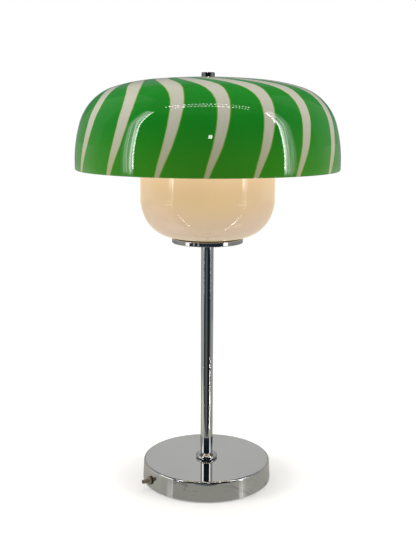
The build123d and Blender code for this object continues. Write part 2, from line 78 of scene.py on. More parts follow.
camera = bpy.data.objects.new("camera", bpy.data.cameras.new("camera"))
camera.data.lens = lens
camera.location = (0.0, -camera_distance, camera_height)
camera.rotation_euler = (math.pi / 2 - camera_dip, camera_roll, 0.0)
bpy.context.scene.collection.objects.link(camera)
bpy.context.scene.camera = camera
bpy.context.scene.view_settings.view_transform = "Standard"
print("camera looks down by", round(math.degrees(camera_dip), 1), "degrees")

# %% [markdown]
# ## A short way to write nodes
#
# Every finish below is a small node tree. Adding a node by hand takes one line for the node and one
# for each value or wire. The first two helpers take them together: a socket's entry is either a
# value, or another node's output, which is then wired to it. The others are the nodes that come up
# most: a sum, a smooth step from one range to another, a mix of two colours, and noise.


# %% Node helpers
def fill(tree, node, sockets):
    """Give a node's sockets their values, or wire other nodes' outputs to them."""
    for socket, value in sockets.items():
        if isinstance(value, bpy.types.NodeSocket):
            tree.links.new(value, node.inputs[socket])
        else:
            node.inputs[socket].default_value = value


def wire(tree, kind, sockets=None, **settings):
    """Add a node, set its options, and fill its sockets."""
    node = tree.nodes.new("ShaderNode" + kind)
    for option, choice in settings.items():
        setattr(node, option, choice)
    fill(tree, node, sockets or {})
    return node


def work_out(tree, operation, first, second=0.0):
    """The result of a Math node."""
    return wire(tree, "Math", {0: first, 1: second}, operation=operation).outputs[0]


def between(tree, value, low, high, to_low=0.0, to_high=1.0):
    """Carry a value smoothly from one range to another."""
    sockets = {"Value": value, 1: low, 2: high, 3: to_low, 4: to_high}
    return wire(tree, "MapRange", sockets, interpolation_type="SMOOTHSTEP").outputs[0]


def mix_colours(tree, share, first, second):
    """The first colour where share is 0, and the second where it is 1."""
    node = wire(tree, "Mix", {0: share, 6: first, 7: second}, data_type="RGBA")
    return node.outputs[2]


def noise(tree, where, scale, detail, distortion=0.0):
    """A Noise texture's value at this place."""
    sockets = {"Vector": where, "Scale": scale, "Detail": detail, "Distortion": distortion}
    return wire(tree, "TexNoise", sockets).outputs[0]


print("node helpers ready")

# %% [markdown]
# ## The world
#
# The photograph's background is plain white. A world that is bright enough to look white would also
# flood the lamp with light. The Light Path node keeps the two apart: rays from the camera, and rays
# mirrored or let through by metal and glass, meet a white wall, while the rays that light dull
# surfaces meet a softer one. That one is dimmer towards the camera, where the dark tent opening
# was, so dull glass is lit a bit more from the sides than from the front.

# %% World
plain_white = (1.0, 1.0, 1.0, 1.0)
daylight = 0.68
front_daylight = 0.40
front_to_side = (-0.95, 0.1)


def looked_at(tree):
    """1 for rays from the camera and rays mirrored or let through, 0 for those that only light."""
    rays = wire(tree, "LightPath").outputs
    seen = work_out(tree, "MAXIMUM", rays["Is Camera Ray"], rays["Is Glossy Ray"])
    return work_out(tree, "MAXIMUM", seen, rays["Is Transmission Ray"])


world = bpy.data.worlds.new("white_wall")
bpy.context.scene.world = world
world.use_nodes = True
tree = world.node_tree
tree.nodes.clear()
seen = looked_at(tree)
looking = wire(tree, "SeparateXYZ", {0: wire(tree, "TexCoord").outputs["Generated"]})
soft = between(tree, looking.outputs["Y"], *front_to_side, front_daylight, daylight)
soft_light = wire(tree, "Background", {"Color": plain_white, "Strength": soft})
white_wall = wire(tree, "Background", {"Color": plain_white, "Strength": 1.0})
both = wire(tree, "MixShader", {0: seen, 1: soft_light.outputs[0], 2: white_wall.outputs[0]})
wire(tree, "OutputWorld", {"Surface": both.outputs[0]})
print("world light on dull surfaces:", daylight)

# %% [markdown]
# ## Soft lamps
#
# Even light from all sides shows no form. Three large area lamps add a soft direction: one from the
# upper left, a weaker one from the right, and one from above. They are kept out of reflections,
# because the tent further down gives the metal its own bright walls.

# %% Studio lamps
aim = Vector((0.0, 0.0, 0.28))
studio_lamps = {
    "left_lamp": ((-1.5, -0.3, 0.9), 0.9, 14.0),
    "right_lamp": ((1.5, -0.3, 0.8), 0.9, 11.0),
    "top_lamp": ((0.0, 0.1, 1.7), 1.0, 9.0),
}
for name, (place, size, power) in studio_lamps.items():
    lamp = bpy.data.objects.new(name, bpy.data.lights.new(name, "AREA"))
    lamp.data.size = size
    lamp.data.energy = power
    lamp.location = place
    lamp.rotation_euler = (aim - lamp.location).to_track_quat("-Z", "Y").to_euler()
    lamp.visible_glossy = False
    bpy.context.scene.collection.objects.link(lamp)
print("studio lamps:", len(studio_lamps))

# %% [markdown]
# ## The floor
#
# A plain pale floor carries the lamp and keeps its soft shadow. It is a disc that melts into the
# white wall at its rim, so no horizon shows. Towards the camera and in mirrors it adds a little
# light of its own, just enough that bare floor reads as white. Its underside is clear, so that the
# lamp can be looked at from below. Rings and discs like this one come up again in the tent, so a
# helper makes them.


# %% Floor
def as_object(name, form):
    """Put a finished form into the scene."""
    mesh = bpy.data.meshes.new(name)
    form.to_mesh(mesh)
    form.free()
    thing = bpy.data.objects.new(name, mesh)
    bpy.context.scene.collection.objects.link(thing)
    return thing


def flat_ring(name, inner, outer, height, steps=96):
    """A level ring about the lamp's axis; with no inner radius it is a disc."""
    form = bmesh.new()
    rows = []
    for k in range(steps + 1):
        turn = math.radians(360.0 * k / steps)
        pair = []
        for radius in (inner, outer):
            place = (radius * math.sin(turn), -radius * math.cos(turn), height)
            pair.append(form.verts.new(place))
        rows.append(pair)
    for left, right in zip(rows, rows[1:]):
        form.faces.new((left[0], left[1], right[1], right[0]))
    bmesh.ops.remove_doubles(form, verts=form.verts, dist=1e-6)
    return as_object(name, form)


floor_radius = 0.75
floor_drop = 0.0002
floor_light = 0.2
fade_from, fade_to = 0.35, 0.97
pale_paper = (0.84, 0.84, 0.83, 1.0)

floor_paint = bpy.data.materials.new("floor_paint")
floor_paint.use_nodes = True
tree = floor_paint.node_tree
tree.nodes.clear()
paper = wire(tree, "BsdfDiffuse", {"Color": pale_paper})
own_light = work_out(tree, "MULTIPLY", looked_at(tree), floor_light)
lift = wire(tree, "Emission", {"Color": plain_white, "Strength": own_light})
lit = wire(tree, "AddShader", {0: paper.outputs[0], 1: lift.outputs[0]})
where = wire(tree, "TexCoord").outputs["Object"]
reach = wire(tree, "VectorMath", {0: where}, operation="LENGTH").outputs["Value"]
fade = between(tree, reach, floor_radius * fade_from, floor_radius * fade_to)
fade = work_out(tree, "MAXIMUM", fade, wire(tree, "NewGeometry").outputs["Backfacing"])
clear = wire(tree, "BsdfTransparent")
both = wire(tree, "MixShader", {0: fade, 1: lit.outputs[0], 2: clear.outputs[0]})
wire(tree, "OutputMaterial", {"Surface": both.outputs[0]})

floor = flat_ring("floor", 0.0, floor_radius, -floor_drop)
floor.data.materials.append(floor_paint)
floor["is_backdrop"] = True
print("floor radius in metres:", floor_radius)

# %% [markdown]
# ## The photo tent
#
# Chrome has no colour of its own: it looks like the room. The stem in the photograph is dark down
# the middle, with a light line at each side, so the room was a small tent, open and dark towards
# the camera, whose side walls glow where they begin. Painting those lines on the metal would fail
# from any other side. So the tent is built, and only mirror rays see it. Its cloths are plain
# Emission materials, which are as bright as they are written. Two helpers come first.


# %% Studio helpers
def only_in_mirrors(thing):
    """Hide a piece of the studio from everything but reflections."""
    thing.visible_camera = False
    thing.visible_diffuse = False
    thing.visible_shadow = False
    thing.visible_transmission = False
    thing.visible_volume_scatter = False
    thing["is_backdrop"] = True


def glowing(name):
    """A new material with nothing in it but an Emission node."""
    material = bpy.data.materials.new(name)
    material.use_nodes = True
    material.node_tree.nodes.clear()
    light = wire(material.node_tree, "Emission")
    wire(material.node_tree, "OutputMaterial", {"Surface": light.outputs[0]})
    return material, material.node_tree, light


print("studio helpers ready")

# %% [markdown]
# ## The walls
#
# Three shapes stand for the studio: a round tent wall above, a wider room wall below it, and a
# level ledge between the two. Real folds and poles could be modelled, but the thin stem and the
# small finial squeeze a whole wall into a line, so an open cylinder is enough.

# %% Walls
tent_radius = 0.42
tent_height = 0.80
room_radius = 0.80
room_height = 0.30


def round_wall(name, radius, low, high):
    """An open cylinder about the lamp's axis, for reflections only."""
    form = bmesh.new()
    depth = high - low
    sizes = {"radius1": radius, "radius2": radius, "depth": depth}
    bmesh.ops.create_cone(form, segments=128, cap_ends=False, **sizes)
    bmesh.ops.translate(form, verts=form.verts, vec=(0.0, 0.0, low + depth / 2))
    wall = as_object(name, form)
    only_in_mirrors(wall)
    return wall


tent = round_wall("tent", tent_radius, room_height, tent_height)
room = round_wall("room", room_radius, 0.0, room_height)
ledge = flat_ring("ledge", tent_radius, room_radius, room_height)
only_in_mirrors(ledge)
print("tent radius and height in metres:", tent_radius, tent_height)

# %% [markdown]
# ## Brightness by angle
#
# How bright a wall is depends on where it hangs about the lamp. Lamps behind the cloth would give
# that slowly and with noise. Here a colour ramp reads the brightness from a list of angles and
# levels. Dim cloth looks blue-black in the photograph and bright cloth neutral, so a last helper
# tints the light.


# %% Brightness helpers
def sideways(tree):
    """The angle about the lamp in degrees, 0 towards the camera and rising to the right.

    The node that splits the place into X, Y and Z comes with it.
    """
    split = wire(tree, "SeparateXYZ", {0: wire(tree, "TexCoord").outputs["Object"]})
    front = work_out(tree, "MULTIPLY", split.outputs["Y"], -1.0)
    turn = work_out(tree, "ARCTAN2", split.outputs["X"], front)
    return work_out(tree, "DEGREES", turn), split


def bands(tree, turn, levels):
    """Brightness by angle, from a list of (degrees, brightness)."""
    share = wire(tree, "MapRange", {"Value": turn, 1: -180.0, 2: 180.0}).outputs[0]
    ramp = wire(tree, "ValToRGB", {0: share})
    stops = ramp.color_ramp.elements
    while len(stops) < len(levels):
        stops.new(0.5)
    for stop, (degrees, level) in zip(stops, levels):
        stop.position = (degrees + 180.0) / 360.0
        stop.color = (level, level, level, 1.0)
    return ramp.outputs[0]


blue_black = (0.5, 0.8, 1.25, 1.0)
slate = (0.82, 0.98, 1.05, 1.0)
neutral = (1.0, 0.995, 0.975, 1.0)


def tinted(tree, level, light):
    """Light of this level, neutral where it is bright and blue-black where it is dim."""
    colour = mix_colours(tree, between(tree, level, 0.02, 0.14), blue_black, slate)
    colour = mix_colours(tree, between(tree, level, 0.15, 0.40), colour, neutral)
    fill(tree, light, {"Strength": level, "Color": colour})


print("brightness helpers ready")

# %% [markdown]
# ## The lists
#
# The levels were read off the piece of metal or glass that looks that way. The first list is for
# the tent's wall. The next three are for the room's wall from the ground up, and the last two for
# the near and the far part of the ledge.

# %% Brightness lists
upper = [(-180, 0.50), (-150, 0.45), (-142, 0.28), (-122, 0.38), (-105, 0.48), (-96, 0.40)]
upper += [(-88, 0.27), (-70, 0.20), (-56, 0.15), (-51, 0.02), (51, 0.02), (58, 0.15), (72, 0.20)]
upper += [(88, 0.25), (97, 0.38), (108, 0.46), (124, 0.38), (142, 0.28), (152, 0.45), (180, 0.50)]
lower = [(-180, 0.50), (-140, 0.28), (-100, 0.62), (-78, 0.60), (-66, 0.50), (-57, 0.03)]
lower += [(-42, 0.07), (-28, 0.10), (-14, 0.19), (-4, 0.17), (8, 0.05), (30, 0.015), (50, 0.03)]
lower += [(58, 0.27), (68, 0.32), (84, 0.38), (116, 0.38), (150, 0.40), (180, 0.50)]
hem = [(-180, 0.36), (-120, 0.32), (-90, 0.42), (-74, 0.36), (-72, 1.80), (-60, 1.80), (-58, 0.04)]
hem += [(50, 0.04), (52, 1.80), (66, 1.80), (69, 0.36), (90, 0.32), (180, 0.36)]
far = [(-180, 0.50), (-110, 0.50), (-90, 0.60), (-80, 0.45), (-71, 0.45), (-69, 1.90), (-59, 1.90)]
far += [(-57, 0.05), (56, 0.05), (58, 3.20), (63, 2.80), (72, 0.80), (81, 0.60), (110, 0.50)]
far += [(180, 0.50)]
shelf = [(-180, 0.66), (-150, 0.60), (-104, 0.40), (-92, 0.50), (-88, 2.60), (-64, 2.60)]
shelf += [(-58, 0.03), (54, 0.02), (57, 2.60), (76, 2.60), (79, 0.30), (92, 0.30), (116, 0.50)]
shelf += [(150, 0.60), (180, 0.66)]
far_ledge = [(-180, 0.66), (-170, 0.66), (-166, 0.05), (-124, 0.05), (-114, 0.85), (-90, 0.85)]
far_ledge += [(-80, 0.50), (-71, 0.50), (-69, 1.90), (-59, 1.90), (-57, 0.05), (56, 0.05)]
far_ledge += [(58, 3.20), (63, 2.80), (72, 0.80), (81, 0.70), (90, 0.06), (166, 0.06)]
far_ledge += [(170, 0.66), (180, 0.66)]
print("levels in each list:", [len(levels) for levels in (upper, lower, hem, far, shelf, far_ledge)])

# %% [markdown]
# ## The tent's cloth
#
# The upper wall fades with height and is a little brighter at its foot. Along the tent's front
# edges hangs a bright strip of pleated cloth, which gives the two pale arcs on the shade. Noise
# squeezed along the height makes its pleats: real folds would need a fine mesh for two thin lines.


# %% Tent cloth
def cloth(name, things):
    """A glowing cloth for these walls; returns what is needed to paint it."""
    material, tree, light = glowing(name)
    turn, split = sideways(tree)
    for thing in things:
        thing.data.materials.append(material)
    return tree, light, turn, split.outputs["Z"]


fading = (0.42, 0.52)
wall_foot = (0.32, 0.37)
strip_foot = (0.315, 0.352)
strip_front = (53.0, 53.8)
strip_back = (54.0, 65.0)
pleats_around, pleats_upwards = 0.55, 3.5

tree, light, turn, height = cloth("tent_cloth", [tent])
wall = bands(tree, turn, upper)
wall = work_out(tree, "MULTIPLY", wall, between(tree, height, *fading, 1.0, 0.40))
wall = work_out(tree, "MULTIPLY", wall, between(tree, height, *wall_foot, 1.5, 1.0))
beside = work_out(tree, "ABSOLUTE", work_out(tree, "SUBTRACT", turn, 1.0))
edge = between(tree, beside, *strip_front)
strip = work_out(tree, "MULTIPLY", edge, between(tree, beside, *strip_back, 1.0, 0.0))
tall = between(tree, height, *strip_foot, 0.8, 8.5)
around = work_out(tree, "MULTIPLY", turn, pleats_around)
upwards = work_out(tree, "MULTIPLY", height, pleats_upwards)
folds = noise(tree, wire(tree, "CombineXYZ", {0: around, 1: upwards}).outputs[0], 1.0, 3.0, 0.8)
pleats = between(tree, folds, 0.36, 0.62, 0.35, 1.4)
strip = work_out(tree, "MULTIPLY", strip, work_out(tree, "MULTIPLY", tall, pleats))
tinted(tree, work_out(tree, "ADD", strip, wall), light)
print("the bright strip hangs at", strip_front[0], "degrees on both sides")

# %% [markdown]
# ## The room's cloth
#
# The room wall and the ledge share one cloth, which keeps its bright bands in line where the two
# meet. Going up, the wall passes from its lower list over the hem, which is dimmed above its top,
# to the far list. The ledge goes outwards from shelf to far_ledge. The heights of these changes
# were found on the stem, which mirrors each height of the wall at a height of its own.

# %% Room cloth
hem_foot = (0.148, 0.165)
hem_top = (0.185, 0.20)
hem_limit, limit_above = 2.0, 0.42
far_foot = (0.212, 0.265)
wall_top = (0.298, 0.2995)
ledge_middle = (0.77, 0.81)

tree, light, turn, height = cloth("room_cloth", [room, ledge])
flat = wire(tree, "TexCoord").outputs["Object"]
reach = wire(tree, "VectorMath", {0: flat}, operation="LENGTH").outputs["Value"]
above = between(tree, height, *hem_foot)
wall = mix_colours(tree, above, bands(tree, turn, lower), bands(tree, turn, hem))
limit = between(tree, height, *hem_top, hem_limit, limit_above)
wall = work_out(tree, "MINIMUM", wall, limit)
wall = mix_colours(tree, between(tree, height, *far_foot), wall, bands(tree, turn, far))
outwards = between(tree, reach, *ledge_middle)
level_part = mix_colours(tree, outwards, bands(tree, turn, shelf), bands(tree, turn, far_ledge))
wall = mix_colours(tree, between(tree, height, *wall_top), wall, level_part)
tinted(tree, wall, light)
print("the hem hangs between", hem_foot[0], "and", hem_top[1], "metres")

# %% [markdown]
# ## The roof
#
# A plain grey disc closes the tent. The shade's crown and the top of the finial mirror it. It needs
# no pattern, because the photograph shows none there.

# %% Roof
roof = flat_ring("tent_roof", 0.0, tent_radius, tent_height)
roof_cloth, tree, light = glowing("roof_cloth")
fill(tree, light, {"Color": (1.0, 1.0, 0.99, 1.0), "Strength": 0.10})
roof.data.materials.append(roof_cloth)
only_in_mirrors(roof)
print("roof height in metres:", tent_height)

# %% [markdown]
# ## The table
#
# The lamp stood on a glossy grey slab with dark veins, whose front edge runs just before the base.
# The stem's reflection gives that away: its dark middle ends in a point above the base, as only a
# straight edge makes it. The slab is a ring round the base that only mirrors see, so the pale floor
# stays in the picture. Distorted noise makes the veins, and two soft pools of light brighten it
# beside the base. Before its front edge the ring shows the dark ground instead.

# %% Table
table_edge = -0.136
edge_blur = 0.001
table_inner = 0.0775
table_level = 0.001
pools = (((-0.27, -0.02, 0.0), 0.20, 0.4), ((0.265, -0.12, 0.0), 0.10, 0.9))
warm_stone = (1.0, 0.985, 0.88, 1.0)
cool_ground = (0.9, 1.0, 1.05, 1.0)

table = flat_ring("table", table_inner, room_radius, table_level)
table_top, tree, light = glowing("table_top")
turn, split = sideways(tree)
flat = wire(tree, "TexCoord").outputs["Object"]
slab = between(tree, noise(tree, flat, 15.0, 6.0, 3.0), 0.32, 0.43, 0.28, 0.415)
for middle, radius, level in pools:
    near = wire(tree, "VectorMath", {0: flat, 1: middle}, operation="DISTANCE").outputs["Value"]
    slab = work_out(tree, "ADD", slab, between(tree, near, 0.2 * radius, radius, level, 0.0))
edge_range = (table_edge - edge_blur, table_edge + edge_blur)
beyond = between(tree, split.outputs["Y"], *edge_range, 1.0, 0.0)
level = mix_colours(tree, beyond, slab, bands(tree, turn, lower))
colour = mix_colours(tree, beyond, warm_stone, cool_ground)
fill(tree, light, {"Color": colour, "Strength": level})
table.data.materials.append(table_top)
only_in_mirrors(table)
print("pools of light on the table:", len(pools))

# %% [markdown]
# ## The table's gloss
#
# A polished slab mirrors more the flatter one looks along it, which the Fresnel node works out. It
# is added to the slab's own brightness, and only as far as the front edge.

# %% Table gloss
stone_index = 1.45

gloss = wire(tree, "BsdfGlossy", {"Color": plain_white, "Roughness": 0.06})
dark = wire(tree, "Emission", {"Strength": 0.0})
grazing = wire(tree, "Fresnel", {"IOR": stone_index}).outputs[0]
share = work_out(tree, "MULTIPLY", grazing, work_out(tree, "SUBTRACT", 1.0, beyond))
shine = wire(tree, "MixShader", {0: share, 1: dark.outputs[0], 2: gloss.outputs[0]})
both = wire(tree, "AddShader", {0: light.outputs[0], 1: shine.outputs[0]})
fill(tree, tree.nodes["Material Output"], {"Surface": both.outputs[0]})
print("gloss on:", table_top.name)

# %% [markdown]
# ## Small lights
#
# A small window behind the camera and a double row of diodes under the roof show on the shade, and
# two more rows of diodes run down the tent's front edges. Real lamps would also light the glass and
# be slow to sample, so each light is a flat glowing card that only mirrors see, and one helper
# makes any number of them.


# %% Card helpers
def light_cards(name, cards, strength):
    """Small glowing cards, each given by its middle and two half edges."""
    form = bmesh.new()
    for middle, across, along in cards:
        corners = []
        for side, rise in ((-1, -1), (1, -1), (1, 1), (-1, 1)):
            place = [m + side * a + rise * b for m, a, b in zip(middle, across, along)]
            corners.append(form.verts.new(place))
        form.faces.new(corners)
    sheet = as_object(name, form)
    material, tree, light = glowing(name + "_light")
    fill(tree, light, {"Strength": strength})
    sheet.data.materials.append(material)
    only_in_mirrors(sheet)
    return len(cards)


def spoke(side):
    """One metre out from the lamp's axis at this angle, as x and y."""
    return math.sin(math.radians(side)), -math.cos(math.radians(side))


def upright_card(side, reach, height, half_width, half_height):
    """A card that stands at this angle and distance, and faces the lamp's axis."""
    x, y = spoke(side)
    across = (half_width * y, -half_width * x, 0.0)
    return (reach * x, reach * y, height), across, (0.0, 0.0, half_height)


print("card helpers ready")

# %% [markdown]
# ## Window and upper diodes
#
# The window is one card. The diodes under the roof stand in two rows, one before the other, which
# show as the dotted line across the shade. Each edge of the tent carries a column of diodes.

# %% Window and diodes
inside_tent = 0.414
under_roof = 0.798
row_start, row_length, row_count = -0.2165, 0.4345, 50
row_depth, row_gap = -0.234, 0.0165
column_foot, column_step, column_count = 0.365, 0.0055, 78

window = ((0.012, -0.40, 0.513), (0.0095, 0.0, 0.0), (0.0, 0.0, 0.0085))
light_cards("window", [window], 18.0)
row = []
for k in range(row_count):
    x, y = row_start + row_length * k / (row_count - 1), row_depth + row_gap * (-1) ** k
    row.append(((x, y, under_roof), (0.0022, 0.0, 0.0), (0.0, 0.005, 0.0)))
count = light_cards("diode_row", row, 36.0)
columns = []
for side in (-52.4, 54.3):
    for k in range(column_count):
        height = column_foot + column_step * k
        columns.append(upright_card(side, inside_tent, height, 0.0042, 0.0016))
count += light_cards("edge_diodes", columns, 26.0)
print("diodes on the tent:", count)

# %% [markdown]
# ## Seams in the walls
#
# Where two cloths meet, light comes through. The bowl's gloss shows those seams as thin upright
# lines, and the side of the base as two pale streaks. A colour ramp can't hold so thin a line well,
# so each seam is a tall card just inside its wall.

# %% Seams
inside_room = 0.79
seam_half_width = 0.004
seams = {
    "left_tent_seam": (-55.8, inside_tent, 0.302, 0.36, 2.5),
    "right_tent_seam": (60.4, inside_tent, 0.302, 0.36, 2.5),
    "left_room_seam": (-60.3, inside_room, 0.06, 0.298, 4.5),
    "right_room_seam": (63.0, inside_room, 0.06, 0.298, 7.0),
}
for name, (side, reach, low, high, strength) in seams.items():
    rise = (high - low) / 2
    light_cards(name, [upright_card(side, reach, low + rise, seam_half_width, rise)], strength)
print("seams:", len(seams))

# %% [markdown]
# ## Diodes on the ground
#
# More diodes lie on the ground in two rows that lead away from the tent's front edges. They give
# the two short arcs low on the bowl and the beads of light down the stem. The photograph shows no
# beads on the stem's left, so the cards on that side are tilted: they turn their thin side to the
# stem and their face to the bowl. So are those at the far end of the right row. A tilted card lies
# along the line of sight that runs from the camera by way of the stem.

# %% Ground diodes
half_diode = 0.0028
diode_level = 0.003
row_start, row_step, row_count = 0.165, 0.0075, 60
near_end, right_end = 0.27, 0.5
left_start = 0.24
camera_to_stem = 0.977
lean_run, lean_rise = 0.0038, 0.00165

near_row, floor_row, tilted_row = [], [], []
for k in range(row_count):
    reach = row_start + row_step * k
    right = 52.0 + 27.0 * max(0.0, reach - 0.275)
    left = -41.6 - 31.0 * (reach - 0.245)
    for side in (right, left):
        x, y = spoke(side)
        middle = (reach * x, reach * y, diode_level)
        if side > 0 and reach < right_end:
            cards = near_row if reach < near_end else floor_row
            cards.append((middle, (half_diode, 0.0, 0.0), (0.0, half_diode, 0.0)))
        elif reach > left_start:
            across = (half_diode * y, -half_diode * x, 0.0)
            along = (-lean_run * x, -lean_run * y, lean_rise / (camera_to_stem + reach))
            tilted_row.append((middle, across, along))
count = light_cards("near_diodes", near_row, 16.0)
count += light_cards("floor_diodes", floor_row, 38.0)
count += light_cards("tilted_diodes", tilted_row, 22.0)
print("diodes on the ground:", count)

# %% [markdown]
# ## Two pale spots
#
# The plate under the bowl mirrors two pale spots in its dark front. They are cards on the room's
# wall, as the seams are, but short and wide.

# %% Spots
spot_height = 0.178

spots = [upright_card(side, inside_room, spot_height, 0.030, 0.006) for side in (-43.4, -28.7)]
print("spots:", light_cards("spots", spots, 0.8))

# %% [markdown]
# ## Flags
#
# Seen from behind, the shade's crown is almost edge-on and mirrors the bright strips so strongly
# that its outline would melt into the background. Photographers put up a flag, a dark board that
# keeps a light off one place. Two curved rows of grey cards beside the shade do that here: they
# cover the strips from the crown, but not from the front of the shade, where the arcs are wanted.

# %% Flags
flag_reach = 0.17
flag_middle = 0.532
half_width, half_height = 0.0075, 0.127
front_until = 58

front_flags, side_flags = [], []
for turned in range(46, 92, 5):
    flags = front_flags if turned < front_until else side_flags
    for side in (-turned, turned):
        flags.append(upright_card(side, flag_reach, flag_middle, half_width, half_height))
count = light_cards("front_flags", front_flags, 0.15)
count += light_cards("side_flags", side_flags, 0.28)
print("flags:", count)

# %% [markdown]
# ## A start for every finish
#
# Most finishes are one Principled surface with a few values set and some textures wired in. These
# helpers save the repeated lines: they make the material, find a point's place and height on the
# object, add a bump, and put the finish on parts from CAD, whose meshes stay as they are.


# %% Finish helpers
def finish(name, **sockets):
    """A new material; its Principled node's own sockets take the values given."""
    material = bpy.data.materials.new(name)
    material.use_nodes = True
    shader = material.node_tree.nodes["Principled BSDF"]
    for socket, value in sockets.items():
        label = socket.replace("_", " ").title().replace("Ior", "IOR")
        shader.inputs[label].default_value = value
    return material, material.node_tree, shader


def place_and_height(tree):
    """Where a point lies on the object, and how high."""
    where = wire(tree, "TexCoord").outputs["Object"]
    return where, wire(tree, "SeparateXYZ", {0: where}).outputs["Z"]


def emboss(tree, shader, height, strength, distance):
    """Raise and sink the surface a little, without changing the mesh."""
    sockets = {"Height": height, "Strength": strength, "Distance": distance}
    fill(tree, shader, {"Normal": wire(tree, "Bump", sockets).outputs[0]})


def coat_part(material, *names):
    """Give CAD parts this material, and nothing else."""
    for name in names:
        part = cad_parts[name]
        part.data.materials.clear()
        part.data.materials.append(material)
        for face in part.data.polygons:
            face.material_index = 0


print("finish helpers ready")

# %% [markdown]
# ## Chrome
#
# Everything bright on this lamp is plated and polished steel: the base cover, the stem and its
# ring, the plate under the bowl and the finial. A metal surface with a low roughness does most of
# it. Real chrome also carries faint polishing lines and the haze of fingers, so noise moves the
# roughness a little and a very shallow bump bends the mirror image.


# %% Chrome finish
def polished(name, grey, lines, stretch):
    """Chrome with faint lines; stretch is how much the noise is squeezed along each axis."""
    material, tree, shader = finish(name, metallic=1.0)
    where = wire(tree, "TexCoord").outputs["Object"]
    haze = noise(tree, where, 22.0, 3.0)
    pale = (grey, grey * 1.005, grey, 1.0)
    dull = (grey * 0.93, grey * 0.935, grey * 0.93, 1.0)
    colour = mix_colours(tree, haze, pale, dull)
    roughness = between(tree, haze, 0.35, 0.75, 0.035, 0.10)
    fill(tree, shader, {"Base Color": colour, "Roughness": roughness})
    squeezed = wire(tree, "VectorMath", {0: where, 1: stretch}, operation="MULTIPLY").outputs[0]
    emboss(tree, shader, noise(tree, squeezed, 60.0, 4.0), lines, 0.0001)
    return material


chrome_grey = 0.58
turned_parts = ("base_shell", "gallery_plate", "finial")

chrome = polished("chrome", chrome_grey, 0.05, (1.0, 1.0, 1.0))
coat_part(chrome, *turned_parts)
coat_part(polished("chrome_tube", chrome_grey, 0.06, (14.0, 14.0, 0.4)), "stem_tube")
print("chrome parts:", len(turned_parts) + 1)

# %% [markdown]
# ## A section made of arcs
#
# Both glasses and the stem's ring are round, so each is a section turned about the lamp's axis. The
# section is a chain of arcs that run smoothly into each other, as on the mould. A curve object
# could hold them too. Plain lists of points do it here, because the pattern in the glass needs the
# length along them, which is easily added up over a list.


# %% Section of arcs
def arc_chain(start, heading, arcs, step=0.0022):
    """Points along tangent arcs, each given as (radius, degrees turned to the left)."""
    points = [start]
    x, z = start
    for radius, turned in arcs:
        count = max(2, round(radius * math.radians(abs(turned)) / step))
        centre_x, centre_z = x - radius * math.sin(heading), z + radius * math.cos(heading)
        for k in range(1, count + 1):
            angle = heading + math.radians(turned) * k / count
            x, z = centre_x + radius * math.sin(angle), centre_z - radius * math.cos(angle)
            points.append((x, z))
        heading += math.radians(turned)
    return points


def rounded(corner, radius, before, after, steps=5):
    """Points of a quarter round that replaces the corner between two directions."""
    points = []
    for k in range(steps + 1):
        share = math.pi / 2 * k / steps
        back, on = radius * (1 - math.sin(share)), radius * (1 - math.cos(share))
        x = corner[0] - before[0] * back + after[0] * on
        z = corner[1] - before[1] * back + after[1] * on
        points.append((x, z))
    return points


print("points in a quarter round:", len(rounded((0.0, 0.0), 1.0, (1, 0), (0, 1))))

# %% [markdown]
# ## A way to spin glass
#
# A Screw modifier could turn a section. A mesh made ring by ring can also keep how far along the
# section each point lies, which the pattern in the glass needs, and it can give the inside a
# lining of its own.


# %% Spinning
def spin(name, section, along, turns, lined_from=math.inf):
    """Turn a closed section about the axis.

    along is kept at each point for the glass's pattern, and the faces from the section's point
    lined_from onwards get the second material.
    """
    form = bmesh.new()
    layer = form.verts.layers.float.new("along")
    rings = []
    for k in range(turns):
        angle = 2 * math.pi * k / turns
        ring = []
        for (radius, height), length in zip(section, along):
            place = (radius * math.sin(angle), -radius * math.cos(angle), height)
            vertex = form.verts.new(place)
            vertex[layer] = length
            ring.append(vertex)
        rings.append(ring)
    for ring, following in zip(rings, rings[1:] + rings[:1]):
        for j in range(len(section)):
            i = (j + 1) % len(section)
            face = form.faces.new((ring[j], following[j], following[i], ring[i]))
            face.material_index = int(j >= lined_from)
    bmesh.ops.recalc_face_normals(form, faces=form.faces)
    for face in form.faces:
        face.smooth = True
    return as_object(name, form)


print("spinning tool ready")

# %% [markdown]
# ## The stem's ring
#
# A turned ring hides the hole where the stem enters the base. The CAD ring has a plain cone on top.
# In the photograph its mirror image bends softly from the glowing bowl down to the dark table,
# which only a rounded top does, so the ring is spun anew with two arcs in place of the cone.

# %% Stem ring
ring_bore = 0.00735
ring_seat = 0.0250
ring_arcs = [(0.0012, 40.0), (0.0095, 30.0)]

ring_foot = [(ring_bore, ring_seat), (0.0126, ring_seat), (0.0128, 0.0252)]
ring_top = arc_chain((0.0128, 0.0272), math.pi / 2, ring_arcs, step=0.00025)
ring_section = ring_foot + ring_top + [(0.0078, 0.0308), (ring_bore, 0.0307)]
ring = spin("ring", ring_section, [0.0] * len(ring_section), 96)
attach(ring, "lamp_frame")
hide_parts("stem_collar")
ring.data.materials.append(chrome)
print("ring width in mm:", round(2000 * ring_top[0][0], 1))

# %% [markdown]
# ## The shade's form
#
# The shade is mould-blown glass, 300 mm across: a short upright lip, a gently leaning side, a tight
# shoulder, a flatter haunch and an almost flat crown. The inner face runs 3.5 mm inside the outer
# one, which only makes each arc's radius smaller, and the lip is rounded as fire polishing leaves
# it. The crown's arc isn't chosen but worked out, so that it closes the shade on its axis.

# %% Shade section
shade_radius = 0.150
shade_rim = 0.3718
lip = 0.0083
lip_round = 0.0016
glass_wall = 0.0035
hole_radius = 0.0055
side_arc = (0.1588, 15.3)
shoulder_arc = (0.0598, 58.0)
haunch_arc = (0.2070, 11.5)
shade_arcs = [side_arc, shoulder_arc, haunch_arc]

